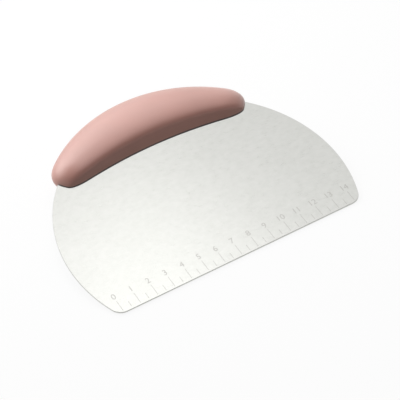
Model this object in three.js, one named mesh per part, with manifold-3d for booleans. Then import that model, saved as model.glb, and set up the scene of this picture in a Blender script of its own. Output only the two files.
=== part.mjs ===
// Half-moon dough cutter: a steel blade with a ruler edge, held in a crescent handle.
// Millimetres. The tool is drawn in the plane of its blade: X runs along the cutting edge,
// Y from the cutting edge to the handle, Z out of the ruler face. It is then laid on its back.

import * as THREE from 'three';
import { mergeVertices } from 'three/addons/utils/BufferGeometryUtils.js';
import Module from 'manifold-3d';

const wasm = await Module();
wasm.setup();
const { degToRad, lerp } = THREE.MathUtils;

// Blade
const BLADE_RADIUS = 80.6;
const ARC_CENTRE_HEIGHT = 34.8;
const CORNER_RADIUS = 7;
const BLADE_THICKNESS = 1;
const EDGE_BREAK = 0.15;

// Handle outline: the outer edge overhangs the blade, the contact arc is where the blade leaves,
// and cross-sections stand on rays that fan out from a point below the centre of the blade's arc
const OUTER_RADIUS_GAIN = 1.6;
const OUTER_CENTRE_RISE = 6.1;
const HANDLE_DEPTH = 35.2;
const CONTACT_ARC_RADIUS = 262;
const FAN_DROP = 13;
const TIP_ANGLE = degToRad(40.8);
const TIP_SHARE = 0.31;
const END_ROUND = 12.2;
const OUTLINE_SQUARENESS = 3;
const CROWN_SQUARENESS = 2.5;

// Handle cross-section at the middle: a wall, a shoulder up to the crown, a face to the outer edge
const WALL_HEIGHT = 8.3;
const WALL_LEAN = 2;
const SHOULDER_RISE = 4.2;
const CROWN_SETBACK = 13;
const SHOULDER_PULL = 3.5;
const CROWN_PULL = 5;
const FACE_PULL = 11.5;
const EDGE_PULL = 5.1;
const END_HALF_THICKNESS = 7.8;

// Layers of the handle, and the room between pieces
const SKIN_THICKNESS = 1.8;
const CORE_WALL = 2;
const FIT_GAP = 0.3;

// Ribs of the half-cores, and the pegs that pass through the blade
const RIB_THICKNESS = 1.6;
const RIB_ANGLES = [-33, -20, -7, 7, 20, 33].map(degToRad);
const PEG_ANGLES = [-26.5, 0, 26.5].map(degToRad);
const PEG_RADIUS = 2.5;
const PEG_REACH = 3.5;
const BOSS_WALL = 1.8;

// Smoothness
const ARC_STEPS = 84;
const CORNER_STEPS = 6;
const ROUND_STEPS = 24;
const SKIN_STEPS = { cap: 7, body: 30, shoulder: 6, face: 9 };
const CORE_STEPS = { cap: 4, body: 20, shoulder: 4, face: 6 };

const HALF_BLADE = BLADE_THICKNESS / 2;
const HALF_THICKNESS = WALL_HEIGHT + SHOULDER_RISE;
const FAN_CENTRE = ARC_CENTRE_HEIGHT - FAN_DROP;
const BLADE_ARC = { centre: ARC_CENTRE_HEIGHT, radius: BLADE_RADIUS };
const OUTER_ARC = { centre: ARC_CENTRE_HEIGHT + OUTER_CENTRE_RISE, radius: BLADE_RADIUS + OUTER_RADIUS_GAIN };
const HANDLE_TOP = OUTER_ARC.centre + OUTER_ARC.radius;
const CONTACT_ARC = { centre: HANDLE_TOP - HANDLE_DEPTH - CONTACT_ARC_RADIUS, radius: CONTACT_ARC_RADIUS };
const CORE_INSET = SKIN_THICKNESS + FIT_GAP;
const CAVITY_INSET = CORE_INSET + CORE_WALL;

// A closed geometry becomes a solid, and a solid becomes a geometry again.
function solidFrom(geometry) {
  const bare = geometry.clone();
  bare.deleteAttribute('normal');
  bare.deleteAttribute('uv');
  const merged = mergeVertices(bare);
  return new wasm.Manifold(new wasm.Mesh({
    numProp: 3,
    vertProperties: new Float32Array(merged.getAttribute('position').array),
    triVerts: new Uint32Array(merged.getIndex().array),
  }));
}

function geometryFrom(solid) {
  const { vertProperties, triVerts } = solid.getMesh();
  const geometry = new THREE.BufferGeometry();
  geometry.setAttribute('position', new THREE.BufferAttribute(vertProperties, 3));
  geometry.setIndex(new THREE.BufferAttribute(triVerts, 1));
  geometry.computeVertexNormals();
  return geometry;
}

function joined(solids) {
  return solids.reduce((sum, solid) => sum.add(solid));
}

function arc(x, y, radius, from, to, steps) {
  return new THREE.EllipseCurve(x, y, radius, radius, from, to).getPoints(steps);
}

// A point on a ray of the fan, at an angle from +Y towards +X, and the ray's length to an arc.
function alongRay(angle, distance) {
  return new THREE.Vector2(distance * Math.sin(angle), FAN_CENTRE + distance * Math.cos(angle));
}

function rayTo({ centre, radius }, angle, margin = 0) {
  const rise = centre - FAN_CENTRE;
  return rise * Math.cos(angle) + Math.sqrt((radius + margin) ** 2 - (rise * Math.sin(angle)) ** 2);
}

// Blade outline, counter-clockwise from the right corner, grown by an even margin.
function bladeOutline(margin) {
  const cornerX = Math.sqrt((BLADE_RADIUS - CORNER_RADIUS) ** 2 - (ARC_CENTRE_HEIGHT - CORNER_RADIUS) ** 2);
  const turn = Math.atan2(CORNER_RADIUS - ARC_CENTRE_HEIGHT, cornerX);
  const corner = CORNER_RADIUS + margin;
  return new THREE.Shape([
    ...arc(cornerX, CORNER_RADIUS, corner, -Math.PI / 2, turn, CORNER_STEPS),
    ...arc(0, ARC_CENTRE_HEIGHT, BLADE_RADIUS + margin, turn, Math.PI - turn, ARC_STEPS).slice(1),
    ...arc(-cornerX, CORNER_RADIUS, corner, Math.PI - turn, 1.5 * Math.PI, CORNER_STEPS).slice(1),
  ]);
}

// Pegs sit in the middle of the tang, the part of the blade that the handle covers.
function pegCentres() {
  return PEG_ANGLES.map((angle) => {
    return alongRay(angle, (rayTo(CONTACT_ARC, angle) + rayTo(BLADE_ARC, angle)) / 2);
  });
}

function bladeGeometry() {
  const outline = bladeOutline(0);
  for (const { x, y } of pegCentres()) {
    outline.holes.push(new THREE.Path(arc(x, y, PEG_RADIUS + FIT_GAP, 0, 2 * Math.PI, ROUND_STEPS).slice(1)));
  }
  const sheet = new THREE.ExtrudeGeometry(outline, {
    depth: BLADE_THICKNESS - 2 * EDGE_BREAK,
    bevelThickness: EDGE_BREAK,
    bevelSize: EDGE_BREAK,
    bevelOffset: -EDGE_BREAK,
    bevelSegments: 1,
  });
  return sheet.translate(0, 0, EDGE_BREAK - HALF_BLADE);
}

// The room that the blade takes up in the handle.
function bladeSlot() {
  const depth = BLADE_THICKNESS + 2 * FIT_GAP;
  const slot = new THREE.ExtrudeGeometry(bladeOutline(FIT_GAP), { depth, bevelEnabled: false });
  return solidFrom(slot.translate(0, 0, -depth / 2));
}

// Closed cross-section as shares of its width and half-thickness, front side first.
function crossSection(steps) {
  const wallTop = new THREE.Vector2(WALL_LEAN, WALL_HEIGHT);
  const crown = new THREE.Vector2(CROWN_SETBACK, HALF_THICKNESS);
  const edge = new THREE.Vector2(HANDLE_DEPTH, 0);
  const shoulder = new THREE.CubicBezierCurve(
    wallTop,
    wallTop.clone().add(wallTop.clone().setLength(SHOULDER_PULL)),
    new THREE.Vector2(crown.x - CROWN_PULL, crown.y),
    crown,
  );
  const face = new THREE.CubicBezierCurve(
    crown,
    new THREE.Vector2(crown.x + FACE_PULL, crown.y),
    new THREE.Vector2(edge.x, EDGE_PULL),
    edge,
  );
  const scale = new THREE.Vector2(HANDLE_DEPTH, HALF_THICKNESS);
  const front = [
    new THREE.Vector2(0, 0),
    ...shoulder.getPoints(steps.shoulder),
    ...face.getPoints(steps.face).slice(1),
  ].map((point) => point.divide(scale));
  const back = front.slice(1, -1).reverse().map(({ x, y }) => new THREE.Vector2(x, -y));
  return [...front, ...back];
}

// Stations from tip to tip: the angle, and the share of the full width and thickness kept there.
function stations(inset, steps) {
  const tipReach = lerp(rayTo(CONTACT_ARC, TIP_ANGLE), rayTo(OUTER_ARC, TIP_ANGLE), TIP_SHARE);
  const tip = TIP_ANGLE - inset / tipReach;
  const capAngle = (END_ROUND - inset) / tipReach;
  const right = [];
  for (let step = 1; step <= steps.cap; step += 1) {
    const turn = (step / steps.cap) * (Math.PI / 2);
    right.push({
      angle: tip - capAngle * (1 - Math.cos(turn)),
      width: (1 - Math.cos(turn) ** OUTLINE_SQUARENESS) ** (1 / OUTLINE_SQUARENESS),
      thickness: (1 - Math.cos(turn) ** CROWN_SQUARENESS) ** (1 / CROWN_SQUARENESS),
    });
  }
  const left = right.map((station) => ({ ...station, angle: -station.angle }));
  const reach = tip - capAngle;
  const middle = [];
  for (let step = 1; step < steps.body; step += 1) {
    middle.push({ angle: reach * (2 * step / steps.body - 1), width: 1, thickness: 1 });
  }
  return { tip, rings: [...left, ...middle, ...right.reverse()] };
}

// The crescent body, drawn in from its outer face by an inset, as rings lofted from tip to tip.
function crescent(inset, steps) {
  const section = crossSection(steps);
  const { tip, rings } = stations(inset, steps);
  const positions = [];
  const across = (angle, share) => {
    return lerp(rayTo(CONTACT_ARC, angle, inset), rayTo(OUTER_ARC, angle, -inset), share);
  };
  const addPole = (angle) => {
    const { x, y } = alongRay(angle, across(angle, TIP_SHARE));
    positions.push(x, y, 0);
  };
  addPole(-tip);
  for (const { angle, width, thickness } of rings) {
    const thinning = (HALF_THICKNESS - END_HALF_THICKNESS) * (angle / TIP_ANGLE) ** 2;
    const height = (HALF_THICKNESS - thinning - inset) * thickness;
    for (const point of section) {
      const { x, y } = alongRay(angle, across(angle, lerp(TIP_SHARE, point.x, width)));
      positions.push(x, y, point.y * height);
    }
  }
  addPole(tip);

  const count = section.length;
  const lastPole = positions.length / 3 - 1;
  const at = (ring, point) => 1 + ring * count + (point % count);
  const indices = [];
  for (let point = 0; point < count; point += 1) {
    indices.push(0, at(0, point), at(0, point + 1));
    indices.push(lastPole, at(rings.length - 1, point + 1), at(rings.length - 1, point));
    for (let ring = 0; ring < rings.length - 1; ring += 1) {
      indices.push(at(ring, point), at(ring + 1, point + 1), at(ring, point + 1));
      indices.push(at(ring, point), at(ring + 1, point), at(ring + 1, point + 1));
    }
  }
  const geometry = new THREE.BufferGeometry();
  geometry.setAttribute('position', new THREE.Float32BufferAttribute(positions, 3));
  geometry.setIndex(indices);
  return solidFrom(geometry);
}

// Upright round bars at the pegs' places, between two heights.
function bars(radius, low, high) {
  const bar = new THREE.CylinderGeometry(radius, radius, high - low, ROUND_STEPS);
  bar.rotateX(Math.PI / 2);
  return joined(pegCentres().map(({ x, y }) => solidFrom(bar.clone().translate(x, y, (low + high) / 2))));
}

// Upright webs that run from the contact wall to the outer edge.
function ribs() {
  const web = new THREE.BoxGeometry(RIB_THICKNESS, HANDLE_DEPTH, 2 * HALF_THICKNESS);
  web.translate(0, HANDLE_TOP - FAN_CENTRE - HANDLE_DEPTH / 2, 0);
  return joined(RIB_ANGLES.map((angle) => {
    return solidFrom(web.clone().rotateZ(-angle).translate(0, FAN_CENTRE, 0));
  }));
}

function halfSpace(side) {
  const span = 4 * OUTER_ARC.radius;
  const block = new THREE.BoxGeometry(span, span, span);
  return solidFrom(block.translate(0, 0, side * (span + FIT_GAP) / 2));
}

function handleGeometries() {
  const slot = bladeSlot();
  const skin = crescent(0, SKIN_STEPS).subtract(crescent(SKIN_THICKNESS, CORE_STEPS)).subtract(slot);

  const bosses = bars(PEG_RADIUS + BOSS_WALL, -HALF_THICKNESS, HALF_THICKNESS);
  const cavity = crescent(CAVITY_INSET, CORE_STEPS).subtract(ribs()).subtract(bosses);
  const core = crescent(CORE_INSET, CORE_STEPS).subtract(cavity).subtract(slot);

  const bladeFace = HALF_BLADE + FIT_GAP;
  const pegTip = -bladeFace - PEG_REACH;
  const pegs = bars(PEG_RADIUS, pegTip, bladeFace + BOSS_WALL);
  const sockets = bars(PEG_RADIUS + FIT_GAP, pegTip - FIT_GAP, 0);
  return {
    skin: geometryFrom(skin),
    front: geometryFrom(core.intersect(halfSpace(1)).add(pegs)),
    back: geometryFrom(core.intersect(halfSpace(-1)).subtract(sockets)),
  };
}

// The angle at which the cutting edge and the back of the handle touch the table together.
function restingTilt(geometry) {
  const position = geometry.getAttribute('position');
  let tilt = 0;
  for (let index = 0; index < position.count; index += 1) {
    const drop = -HALF_BLADE - position.getZ(index);
    tilt = Math.max(tilt, Math.atan2(drop, position.getY(index) - EDGE_BREAK));
  }
  return tilt;
}

function piece(name, geometry, color, roughness, metalness) {
  const mesh = new THREE.Mesh(geometry, new THREE.MeshStandardMaterial({ color, roughness, metalness }));
  mesh.name = name;
  return mesh;
}

const handle = handleGeometries();
const cutter = new THREE.Group();
cutter.add(
  piece('blade', bladeGeometry(), 0xdedfda, 0.38, 1),
  piece('grip_skin', handle.skin, 0xb98c82, 0.62, 0),
  piece('handle_core_front', handle.front, 0xc9b3a8, 0.5, 0),
  piece('handle_core_back', handle.back, 0xc9b3a8, 0.5, 0),
);
cutter.rotation.x = restingTilt(handle.skin);

// The origin is under the middle of the tool, on the table.
const box = new THREE.Box3().setFromObject(cutter, true);
const centre = box.getCenter(new THREE.Vector3());
cutter.position.set(-centre.x, -centre.y, -box.min.z);

const doughCutter = new THREE.Group();
doughCutter.add(cutter);
export default doughCutter;
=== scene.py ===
import math
from collections import namedtuple

import bmesh
import bpy
from mathutils import Matrix, Quaternion, Vector
from mathutils.geometry import interpolate_bezier


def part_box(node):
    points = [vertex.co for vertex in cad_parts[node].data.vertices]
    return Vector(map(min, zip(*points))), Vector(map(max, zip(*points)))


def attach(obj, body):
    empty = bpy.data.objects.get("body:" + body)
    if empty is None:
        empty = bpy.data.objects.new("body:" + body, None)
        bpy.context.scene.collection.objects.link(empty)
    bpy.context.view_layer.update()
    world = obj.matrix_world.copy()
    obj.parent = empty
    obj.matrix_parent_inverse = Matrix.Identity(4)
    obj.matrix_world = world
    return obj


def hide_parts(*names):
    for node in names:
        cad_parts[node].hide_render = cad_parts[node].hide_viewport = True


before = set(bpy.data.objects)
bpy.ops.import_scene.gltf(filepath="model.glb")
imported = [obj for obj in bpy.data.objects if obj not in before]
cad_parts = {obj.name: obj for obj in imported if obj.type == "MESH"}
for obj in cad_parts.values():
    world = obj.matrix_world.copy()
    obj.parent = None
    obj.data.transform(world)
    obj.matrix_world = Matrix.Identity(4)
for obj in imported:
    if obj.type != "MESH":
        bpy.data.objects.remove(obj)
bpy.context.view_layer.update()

MM = 0.001
Arc = namedtuple("Arc", "centre radius")
Steps = namedtuple("Steps", "cap body lip wall shoulder face")

# Blade sheet
BLADE_RADIUS = 80.6 * MM
ARC_CENTRE_HEIGHT = 34.8 * MM
HALF_BLADE = 0.5 * MM
EDGE_BREAK = 0.15 * MM

# Handle outline: cross-sections stand on rays that fan out from below the centre of the blade's arc
OUTER_ARC = Arc(40.9 * MM, 82.2 * MM)
HANDLE_DEPTH = 35.2 * MM
CONTACT_RADIUS = 262 * MM
CONTACT_CENTRE = OUTER_ARC.centre + OUTER_ARC.radius - HANDLE_DEPTH - CONTACT_RADIUS
CONTACT_ARC = Arc(CONTACT_CENTRE, CONTACT_RADIUS)
FAN_CENTRE = 21.8 * MM
TIP_ANGLE = math.radians(40.8)
TIP_SHARE = 0.31
END_ROUND = 12.2 * MM
OUTLINE_SQUARENESS = 3
CROWN_SQUARENESS = 2.5
TIP_CROWDING = 1.6

# Handle cross-section at the middle
WALL_HEIGHT = 8.3 * MM
WALL_LEAN = 2 * MM
HALF_THICKNESS = 12.5 * MM
END_HALF_THICKNESS = 7.8 * MM
CROWN_SETBACK = 13 * MM
SHOULDER_PULL = 3.5 * MM
CROWN_PULL = 5 * MM
FACE_PULL = 11.5 * MM
EDGE_PULL = 5.1 * MM
LIP_ROUND = 0.08 * MM
LIP_HEIGHT = 0.66 * MM
SEAM_HALF_WIDTH = 0.22 * MM
SEAM_RISE = 0.06 * MM

# Handle shell
SKIN_THICKNESS = 1.8 * MM
FIT_GAP = 0.05 * MM
COVER_STEPS = Steps(cap=24, body=120, lip=6, wall=8, shoulder=18, face=30)
LINING_STEPS = Steps(cap=8, body=40, lip=0, wall=2, shoulder=6, face=10)
SLOT_STEPS = 360
SHARP_ANGLE = math.radians(40)

# Etched ruler: centimetre lines with their numbers, half-centimetre lines between them
RULER_CM = 14
CENTIMETRE = 10 * MM
LINE_FOOT = 1.2 * MM
LINE_TOP = 8.1 * MM
HALF_LINE_TOP = 5 * MM
LINE_WIDTH = 0.26 * MM
LINE_END_STEPS = 6
MARK_SINK = 0.01 * MM
MARK_RISE = 0.02 * MM
NUMBER_HEIGHT = 11 * MM
NUMBER_SIZE = 4.9 * MM
WELD_DISTANCE = MARK_SINK / 10

# Skin finish: two tones of rose, and painted shade, a dark line along the gap where the skin meets
# the blade, that fades out over these heights above the middle of the blade, and towards the
# blade's rim
ROSE = ((0.415, 0.182, 0.143), (0.466, 0.207, 0.163))
JOINT_SHADE_BROWN = (0.03, 0.016, 0.016)
JOINT_SHADE_HEIGHTS = (1.15 * MM, 1.9 * MM)
JOINT_SHADE_FADE = 1.5 * MM
SKIN_CLOUD = 22 * MM
SKIN_PEBBLE = 0.22 * MM
PEBBLE_DEPTH = 0.02 * MM

# Steel finish: streaks run along the cutting edge
STEEL_GREY = ((0.604, 0.609, 0.58), (0.67, 0.67, 0.645))
STEEL_STREAK = 0.16 * MM
STREAK_STRETCH = (0.04, 1, 1)
STEEL_MOTTLE = 2.6 * MM
MOTTLE_STRETCH = (0.7, 1, 1)
STEEL_CLOUD = 30 * MM
GRAIN_DEPTH = 0.03 * MM
ETCHED_GREY = ((0.44, 0.433, 0.41), (0.57, 0.564, 0.54))
ETCHED_FROST = 0.12 * MM

# Core finish
CORE_TAN = ((0.54, 0.41, 0.35), (0.62, 0.49, 0.43))
CORE_FLOW = 9 * MM
FLOW_STRETCH = (0.3, 1, 1)
CORE_GRAIN = 0.3 * MM
CORE_GRAIN_DEPTH = 0.02 * MM

# View: the camera looks at a point on the table
VIEW_AIM = Vector((3.5, -13, 0)) * MM
VIEW_DISTANCE = 976 * MM
VIEW_AZIMUTH = math.radians(-28.67)
VIEW_ELEVATION = math.radians(44.01)
VIEW_ROLL = math.radians(-4.01)
VIEW_LENS = 166.2
SENSOR_WIDTH = 36

# Studio
WHITE = (1, 1, 1, 1)
AMBIENT = 0.43
FRONT_DIMMING = 0.6
FRONT_FADE = 0.6
BOUNCE_DIMMING = 0.6
FLOOR_COLOUR = (0.9, 0.9, 0.9, 1)
FLOOR_WHITENESS = 0.9
FLOOR_SIZE = 6
FLOOR_DROP = 0.2 * MM

# Lamps: name, place, width and height in metres, then radiance. The cards light the steel as well.
LAMP_TARGET = Vector((0, 15, 10)) * MM
HANDLE_LAMPS = (
    ("window", (-0.57, 0.74, 0.56), 1, 0.6, 3),
    ("low backlight", (-0.1, 1.05, 0.4), 1.2, 0.5, 2),
    ("backlight", (0.14, 0.8, 0.75), 0.8, 0.6, 1.3),
    ("side light", (0.75, 0.6, 0.5), 0.6, 0.6, 0.7),
    ("strip", (0.03, 0.2, 0.28), 0.3, 0.15, 1.5),
)
CARDS = (
    ("card", (0.042, 0.031, 0.3), 0.25, 0.19, 0.82),
    ("far card", (-0.08, 0.26, 0.3), 0.3, 0.14, 0.3),
)


def mix(first, second, share):
    return first + (second - first) * share


def lying_place():
    """From the blade's own plane, cutting edge along X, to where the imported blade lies."""
    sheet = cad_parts["blade"].data
    face = max(sheet.polygons, key=lambda polygon: polygon.area)
    normal = face.normal if face.normal.z > 0 else -face.normal
    turn = Matrix.Rotation(math.atan2(-normal.y, normal.z), 4, "X")
    foremost = turn @ Vector((0, 0, HALF_BLADE - EDGE_BREAK))
    lowest = turn @ Vector((0, EDGE_BREAK, -HALF_BLADE))
    low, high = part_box("blade")
    shift = Vector(((low.x + high.x) / 2, low.y - foremost.y, low.z - lowest.z))
    return Matrix.Translation(shift) @ turn


LYING = lying_place()
BLADE_NORMAL = LYING.to_3x3() @ Vector((0, 0, 1))
BLADE_PLANE = (BLADE_NORMAL, BLADE_NORMAL.dot(LYING.translation))
BLADE_AXIS = (LYING @ Vector((0, ARC_CENTRE_HEIGHT, 0)), BLADE_NORMAL)


def piece_from(name, data):
    piece = bpy.data.objects.new(name, data)
    bpy.context.scene.collection.objects.link(piece)
    return piece


def mesh_from(name, shape):
    mesh = bpy.data.meshes.new(name)
    shape.to_mesh(mesh)
    shape.free()
    return mesh


def laid_piece(name, shape):
    """A piece from a bmesh drawn in the blade's plane, laid where the tool lies."""
    bmesh.ops.recalc_face_normals(shape, faces=shape.faces)
    shape.transform(LYING)
    return piece_from(name, mesh_from(name, shape))


def final_mesh(piece):
    """The piece's mesh with its cuts or its lettering worked out."""
    worked_out = piece.evaluated_get(bpy.context.evaluated_depsgraph_get())
    return bpy.data.meshes.new_from_object(worked_out)


def prism(shape, outline, low, high):
    """Adds a flat plate with that outline between two heights."""
    bottom = [shape.verts.new((x, y, low)) for x, y in outline]
    top = [shape.verts.new((x, y, high)) for x, y in outline]
    shape.faces.new(bottom)
    shape.faces.new(top)
    for index in range(len(outline)):
        following = (index + 1) % len(outline)
        shape.faces.new((bottom[index], bottom[following], top[following], top[index]))


def carve(piece, cutter):
    """Cuts one piece out of another for good, and clears the cutter away."""
    cut = piece.modifiers.new("cut", "BOOLEAN")
    cut.object = cutter
    cut.operation = "DIFFERENCE"
    cut.solver = "EXACT"
    carved = final_mesh(piece)
    piece.modifiers.clear()
    piece.data = carved
    bpy.data.objects.remove(cutter)


def reach_to(arc, angle, margin=0):
    """Length of a ray of the fan to an arc, at an angle from +Y towards +X."""
    rise = arc.centre - FAN_CENTRE
    aside = rise * math.sin(angle)
    return rise * math.cos(angle) + math.sqrt((arc.radius + margin) ** 2 - aside ** 2)


def bezier(points, steps):
    """Points along a flat curve that is drawn by four points."""
    handles = [Vector((*point, 0)) for point in points]
    return [Vector(point[:2]) for point in interpolate_bezier(*handles, steps + 1)]


def cross_section(steps):
    """Closed section at the middle of the handle, as across-depth and height, front side first."""
    wall_top = Vector((WALL_LEAN, WALL_HEIGHT))
    crown = Vector((CROWN_SETBACK, HALF_THICKNESS))
    edge = Vector((HANDLE_DEPTH, 0))
    front = []
    wall_foot = Vector((0, 0))
    # Only the outer cover has a lip at the blade, and a seam round its outer edge
    if steps.lip:
        wall_foot = wall_top * (LIP_HEIGHT / WALL_HEIGHT)
        centre = wall_foot + Vector((LIP_ROUND, 0))
        front.append(Vector((centre.x, 0)))
        for step in range(steps.lip):
            turn = step / steps.lip * math.pi / 2
            front.append(centre - LIP_ROUND * Vector((math.sin(turn), math.cos(turn))))
    front += [wall_foot.lerp(wall_top, step / steps.wall) for step in range(steps.wall)]
    shoulder = [
        wall_top,
        wall_top + wall_top.normalized() * SHOULDER_PULL,
        crown - Vector((CROWN_PULL, 0)),
        crown,
    ]
    face = [crown, crown + Vector((FACE_PULL, 0)), Vector((edge.x, EDGE_PULL)), edge]
    front += bezier(shoulder, steps.shoulder)[:-1]
    front += [point for point in bezier(face, steps.face) if point.y > 2 * SEAM_HALF_WIDTH]
    if steps.lip:
        front.append(edge + Vector((0, SEAM_HALF_WIDTH)))
        front.append(edge + Vector((SEAM_RISE, SEAM_HALF_WIDTH / 2)))
        front.append(edge + Vector((SEAM_RISE, 0)))
    else:
        front.append(edge)
    back = [Vector((point.x, -point.y)) for point in reversed(front[1:-1])]
    return front + back


def squared_round(turn, squareness):
    """Share of the full size at a turn round the end, from 0 at the tip to 1 a quarter turn on."""
    return (1 - math.cos(turn) ** squareness) ** (1 / squareness)


def stations(inset, steps):
    """The tip's angle, and the rays from tip to tip: angle, share of width, share of thickness."""
    tip_reach = mix(reach_to(CONTACT_ARC, TIP_ANGLE), reach_to(OUTER_ARC, TIP_ANGLE), TIP_SHARE)
    tip = TIP_ANGLE - inset / tip_reach
    cap = (END_ROUND - inset) / tip_reach
    right = []
    for step in range(1, steps.cap + 1):
        turn = (step / steps.cap) ** TIP_CROWDING * math.pi / 2
        angle = tip - cap * (1 - math.cos(turn))
        width = squared_round(turn, OUTLINE_SQUARENESS)
        thickness = squared_round(turn, CROWN_SQUARENESS)
        right.append((angle, width, thickness))
    left = [(-angle, width, thickness) for angle, width, thickness in right]
    body_reach = tip - cap
    middle = [(body_reach * (2 * step / steps.body - 1), 1, 1) for step in range(1, steps.body)]
    return tip, left + middle + right[::-1]


def crescent(inset, steps):
    """The handle's body drawn in from its outer face by an inset, lofted from tip to tip."""
    section = cross_section(steps)
    tip, rings = stations(inset, steps)
    shape = bmesh.new()

    def vertex(angle, share, height):
        contact = reach_to(CONTACT_ARC, angle, inset)
        reach = mix(contact, reach_to(OUTER_ARC, angle, -inset), share)
        x = reach * math.sin(angle)
        return shape.verts.new((x, FAN_CENTRE + reach * math.cos(angle), height))

    loops = []
    for angle, width, thickness in rings:
        thinning = (HALF_THICKNESS - END_HALF_THICKNESS) * (angle / TIP_ANGLE) ** 2
        height = (HALF_THICKNESS - thinning - inset) * thickness
        loop = []
        for point in section:
            share = mix(TIP_SHARE, point.x / HANDLE_DEPTH, width)
            loop.append(vertex(angle, share, point.y / HALF_THICKNESS * height))
        loops.append(loop)
    poles = [vertex(-tip, TIP_SHARE, 0), vertex(tip, TIP_SHARE, 0)]
    for index in range(len(section)):
        following = (index + 1) % len(section)
        shape.faces.new((poles[0], loops[0][index], loops[0][following]))
        shape.faces.new((poles[1], loops[-1][following], loops[-1][index]))
        for near, far in zip(loops, loops[1:]):
            shape.faces.new((near[index], far[index], far[following], near[following]))
    return shape


def circle(x, y, radius, steps):
    """Points round a circle, as x and y."""
    turns = [2 * math.pi * step / steps for step in range(steps)]
    return [(x + radius * math.cos(turn), y + radius * math.sin(turn)) for turn in turns]


def soft_cover():
    """The crescent skin: a lofted shell with a slot that takes the blade."""
    cover = laid_piece("soft_cover", crescent(0, COVER_STEPS))
    carve(cover, laid_piece("lining", crescent(SKIN_THICKNESS, LINING_STEPS)))
    slot = bmesh.new()
    outline = circle(0, ARC_CENTRE_HEIGHT, BLADE_RADIUS + FIT_GAP, SLOT_STEPS)
    prism(slot, outline, -HALF_BLADE - FIT_GAP, HALF_BLADE + FIT_GAP)
    carve(cover, laid_piece("slot", slot))
    cover.data.shade_smooth()
    cover.data.set_sharp_from_angle(angle=SHARP_ANGLE)
    return cover


def ruler_lines():
    """Etched lines with round ends, from the cutting edge up."""
    shape = bmesh.new()
    radius = LINE_WIDTH / 2
    for half in range(2 * RULER_CM + 1):
        x = (half - RULER_CM) * CENTIMETRE / 2
        top = HALF_LINE_TOP if half % 2 else LINE_TOP
        outline = []
        for y, start in ((top - radius, 0), (LINE_FOOT + radius, math.pi)):
            for step in range(LINE_END_STEPS + 1):
                turn = start + math.pi * step / LINE_END_STEPS
                outline.append((x + radius * math.cos(turn), y + radius * math.sin(turn)))
        prism(shape, outline, HALF_BLADE - MARK_SINK, HALF_BLADE + MARK_RISE)
    return laid_piece("ruler_lines", shape)


def ruler_numbers():
    """The etched numbers above the centimetre lines, plain figures filled as thin plates."""
    shape = bmesh.new()
    for number in range(RULER_CM + 1):
        figures = bpy.data.curves.new("figures", "FONT")
        figures.body = str(number)
        figures.size = NUMBER_SIZE
        figures.extrude = (MARK_SINK + MARK_RISE) / 2
        figures.align_x = "CENTER"
        figures.align_y = "CENTER"
        writing = piece_from("figures", figures)
        plates = final_mesh(writing)
        x = (number - RULER_CM / 2) * CENTIMETRE
        z = HALF_BLADE + (MARK_RISE - MARK_SINK) / 2
        plates.transform(Matrix.Translation((x, NUMBER_HEIGHT, z)))
        shape.from_mesh(plates)
        bpy.data.objects.remove(writing)
    bmesh.ops.remove_doubles(shape, verts=shape.verts, dist=WELD_DISTANCE)
    return laid_piece("ruler_numbers", shape)


class Field:
    """What a node gives over a surface. Arithmetic on it adds Math nodes to the same tree."""

    def __init__(self, tree, socket=None):
        self.tree = tree
        self.socket = socket

    def node(self, kind, settings=None, sockets=None, output=0):
        """Adds a node of any kind: its settings first, then the values or links of its sockets."""
        node = self.tree.nodes.new(kind)
        for name, value in (settings or {}).items():
            setattr(node, name, value)
        for name, value in (sockets or {}).items():
            if isinstance(value, Field):
                self.tree.links.new(value.socket, node.inputs[name])
            else:
                node.inputs[name].default_value = value
        return Field(self.tree, node.outputs[output])

    def _math(self, operation, first, second):
        return self.node("ShaderNodeMath", {"operation": operation}, {0: first, 1: second})

    def __add__(self, other):
        return self._math("ADD", self, other)

    def __sub__(self, other):
        return self._math("SUBTRACT", self, other)

    def __mul__(self, other):
        return self._math("MULTIPLY", self, other)

    def __rsub__(self, other):
        return self._math("SUBTRACT", other, self)

    __radd__ = __add__
    __rmul__ = __mul__

    def highest(self, other):
        return self._math("MAXIMUM", self, other)

    def lowest(self, other):
        return self._math("MINIMUM", self, other)

    def _vector(self, operation, other=(0, 0, 0), output=0):
        settings = {"operation": operation}
        return self.node("ShaderNodeVectorMath", settings, {0: self, 1: other}, output)

    def stretched(self, scales):
        return self._vector("MULTIPLY", scales)

    def height_over(self, plane):
        """Distance of a place from a plane, the same on both its sides."""
        normal, offset = plane
        along = self._vector("DOT_PRODUCT", normal, "Value") - offset
        return along.highest(-1 * along)

    def distance_from(self, axis):
        """Distance of a place from a line through a point in a direction."""
        point, direction = axis
        across = self._vector("SUBTRACT", point)._vector("CROSS_PRODUCT", direction)
        return across._vector("LENGTH", output="Value")

    def noise(self, grain, detail=2):
        """Even noise about zero, with a grain of that size in metres."""
        sockets = {"Vector": self, "Scale": 1 / grain, "Detail": detail}
        return self.node("ShaderNodeTexNoise", {}, sockets) - 0.5

    def between(self, low, high):
        """Smooth step from 0 at low to 1 at high."""
        sockets = {"Value": self, "From Min": low, "From Max": high}
        return self.node("ShaderNodeMapRange", {"interpolation_type": "SMOOTHSTEP"}, sockets)

    def tint(self, first, second):
        """Colour that goes from the first to the second as this value goes from 0 to 1."""
        ends = [end if isinstance(end, Field) else (*end, 1) for end in (first, second)]
        # Places of the node's sockets when it mixes colours
        factor, first_colour, second_colour, result = 0, 6, 7, 2
        sockets = {factor: self, first_colour: ends[0], second_colour: ends[1]}
        return self.node("ShaderNodeMix", {"data_type": "RGBA"}, sockets, output=result)

    def bump(self, height, strength):
        sockets = {"Height": self, "Distance": height, "Strength": strength}
        return self.node("ShaderNodeBump", {}, sockets)


def start_tree(owner, end):
    """Empties a node tree but for its output; gives a first field and the output's socket."""
    owner.use_nodes = True
    tree = owner.node_tree
    tree.nodes.clear()
    output = tree.nodes.new(end)
    return Field(tree), output.inputs["Surface"]


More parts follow.
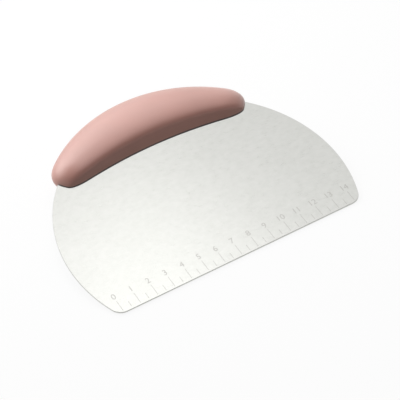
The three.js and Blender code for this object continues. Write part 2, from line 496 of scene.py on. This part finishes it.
def finish_of(name, paint):
    """A material whose sockets are what paint gives for a place on the surface, in metres."""
    material = bpy.data.materials.new(name)
    start, surface = start_tree(material, "ShaderNodeOutputMaterial")
    place = start.node("ShaderNodeTexCoord", output="Object")
    shader = place.node("ShaderNodeBsdfPrincipled", {}, paint(place))
    start.tree.links.new(shader.socket, surface)
    return material


def soft_touch_rose(place):
    """Matte soft-touch skin, dusty rose, with a fine pebble and slow shifts of tone."""
    cloud = place.noise(SKIN_CLOUD, detail=3)
    pebble = place.noise(SKIN_PEBBLE)
    tone = (0.5 + cloud * 1.2 + pebble * 0.35).between(0, 1)
    # Painted shade: the skin turns dark brown in a thin band just above and below the blade, where
    # the gap's shadow falls, but not past the blade's rim
    over_blade = place.height_over(BLADE_PLANE).between(*JOINT_SHADE_HEIGHTS)
    past_blade = place.distance_from(BLADE_AXIS).between(BLADE_RADIUS - JOINT_SHADE_FADE, BLADE_RADIUS)
    clear_of_joint_shade = over_blade.highest(past_blade)
    return {
        "Base Color": clear_of_joint_shade.tint(JOINT_SHADE_BROWN, tone.tint(*ROSE)),
        "Roughness": 0.45 + cloud * 0.08 + pebble * 0.12,
        "Normal": pebble.bump(PEBBLE_DEPTH, 0.35),
        "IOR": 1.62,
        "Specular IOR Level": 0.75,
        "Sheen Weight": 0.5,
        "Sheen Roughness": 0.45,
        "Sheen Tint": (1, 0.97, 0.95, 1),
    }


def satin_sheet_steel(place):
    """Satin steel with a fine grain along the cutting edge and a faint mottle."""
    streak = place.stretched(STREAK_STRETCH).noise(STEEL_STREAK, detail=3)
    mottle = place.stretched(MOTTLE_STRETCH).noise(STEEL_MOTTLE)
    cloud = place.noise(STEEL_CLOUD)
    tone = (0.5 + streak * 0.6 + mottle * 0.9 + cloud * 0.3).between(0, 1)
    return {
        "Base Color": tone.tint(*STEEL_GREY),
        "Metallic": 1,
        "Roughness": 0.3 + streak * 0.12 + mottle * 0.06,
        "Normal": (streak + mottle).bump(GRAIN_DEPTH, 1),
    }


def etched_grey(place):
    """Frosted floor of an etched mark."""
    frost = place.noise(ETCHED_FROST)
    return {
        "Base Color": (0.5 + frost).between(0, 1).tint(*ETCHED_GREY),
        "Metallic": 1,
        "Roughness": 0.48 + frost * 0.2,
    }


def moulded_core(place):
    """Stiff moulded plastic of the half-cores under the skin."""
    flow = place.stretched(FLOW_STRETCH).noise(CORE_FLOW, detail=3)
    return {
        "Base Color": (0.5 + flow).between(0, 1).tint(*CORE_TAN),
        "Roughness": 0.5 + flow * 0.15,
        "Normal": place.noise(CORE_GRAIN).bump(CORE_GRAIN_DEPTH, 0.2),
    }


def seen_directly(start):
    """1 for rays from the camera, off metal or through glass, 0 for rays that carry soft light."""
    kinds = ("Is Camera Ray", "Is Glossy Ray", "Is Transmission Ray")
    camera, mirrored, through = [start.node("ShaderNodeLightPath", output=kind) for kind in kinds]
    soft_bounces = start.node("ShaderNodeLightPath", output="Diffuse Depth")
    # What the steel throws back onto the handle is dimmed
    dimming = soft_bounces.lowest(1) * BOUNCE_DIMMING
    return camera.highest(mirrored).highest(through) * (1 - dimming)


def studio_world():
    """White surroundings, which are dimmer to the front for all but the camera."""
    world = bpy.data.worlds.new("studio")
    start, surface = start_tree(world, "ShaderNodeOutputWorld")
    direction = start.node("ShaderNodeTexCoord", output="Generated")
    behind = start.node("ShaderNodeSeparateXYZ", {}, {"Vector": direction}, output="Y")
    is_camera = start.node("ShaderNodeLightPath", output="Is Camera Ray")
    white = is_camera.highest(1 - (-1 * behind).between(0, FRONT_FADE) * FRONT_DIMMING)
    strength = white * (AMBIENT + seen_directly(start) * (1 - AMBIENT))
    backdrop = start.node("ShaderNodeBackground", {}, {"Color": WHITE, "Strength": strength})
    start.tree.links.new(backdrop.socket, surface)
    world.cycles.sampling_method = "NONE"
    bpy.context.scene.world = world


def studio_floor():
    """Pale table top that stays white to the camera and keeps a faint shadow of the tool."""
    half = FLOOR_SIZE / 2
    shape = bmesh.new()
    corners = [(-half, -half), (half, -half), (half, half), (-half, half)]
    shape.faces.new([shape.verts.new((x, y, -FLOOR_DROP)) for x, y in corners])
    floor = piece_from("floor", mesh_from("floor", shape))
    material = bpy.data.materials.new("white_table")
    start, surface = start_tree(material, "ShaderNodeOutputMaterial")
    matte = start.node("ShaderNodeBsdfDiffuse", {}, {"Color": FLOOR_COLOUR})
    glow = start.node("ShaderNodeEmission", {}, {"Color": WHITE, "Strength": 1})
    share = seen_directly(start) * FLOOR_WHITENESS
    top = start.node("ShaderNodeMixShader", {}, {0: share, 1: matte, 2: glow})
    start.tree.links.new(top.socket, surface)
    floor.data.materials.append(material)


def lamp(name, place, width, height, radiance, shaded=()):
    """Soft light that faces the tool from a place. Radiance 1 is as bright as white paper."""
    light = bpy.data.lights.new(name, "AREA")
    light.shape = "RECTANGLE"
    light.size = width
    light.size_y = height
    light.energy = radiance * math.pi * width * height
    holder = piece_from(name, light)
    holder.location = place
    holder.rotation_mode = "QUATERNION"
    holder.rotation_quaternion = (LAMP_TARGET - holder.location).to_track_quat("-Z", "Y")
    holder.visible_camera = False
    if shaded:
        flagged = bpy.data.collections.new(name + "_flag")
        for piece in shaded:
            flagged.objects.link(piece)
        holder.light_linking.receiver_collection = flagged
        for entry in flagged.collection_objects:
            entry.light_linking.link_state = "EXCLUDE"


def photo_camera():
    """Looks at the tool from where the photo was taken."""
    lens = bpy.data.cameras.new("camera")
    lens.sensor_width = SENSOR_WIDTH
    lens.lens = VIEW_LENS
    camera = piece_from("camera", lens)
    level = math.cos(VIEW_ELEVATION)
    back = Vector((
        math.sin(VIEW_AZIMUTH) * level,
        -math.cos(VIEW_AZIMUTH) * level,
        math.sin(VIEW_ELEVATION),
    ))
    roll = Quaternion((0, 0, 1), VIEW_ROLL)
    camera.location = VIEW_AIM + back * VIEW_DISTANCE
    camera.rotation_mode = "QUATERNION"
    camera.rotation_quaternion = (-back).to_track_quat("-Z", "Y") @ roll
    bpy.context.scene.camera = camera


steel = finish_of("satin_sheet_steel", satin_sheet_steel)
rose = finish_of("soft_touch_rose", soft_touch_rose)
etched = finish_of("etched_grey", etched_grey)
core_plastic = finish_of("moulded_core", moulded_core)

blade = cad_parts["blade"]
blade.material_slots[0].material = steel
for name in ("handle_core_front", "handle_core_back"):
    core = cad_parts[name]
    core.material_slots[0].material = core_plastic
    core.visible_glossy = False

cover = soft_cover()
cover.data.materials.append(rose)
cover.visible_glossy = False
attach(cover, "root")
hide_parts("grip_skin")

ruler = [ruler_lines(), ruler_numbers()]
for marks in ruler:
    marks.data.materials.append(etched)
    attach(marks, "root")

studio_world()
studio_floor()
for settings in HANDLE_LAMPS:
    lamp(*settings, shaded=[blade, *ruler])
for settings in CARDS:
    lamp(*settings)
photo_camera()

bpy.context.scene.view_settings.view_transform = "Standard"
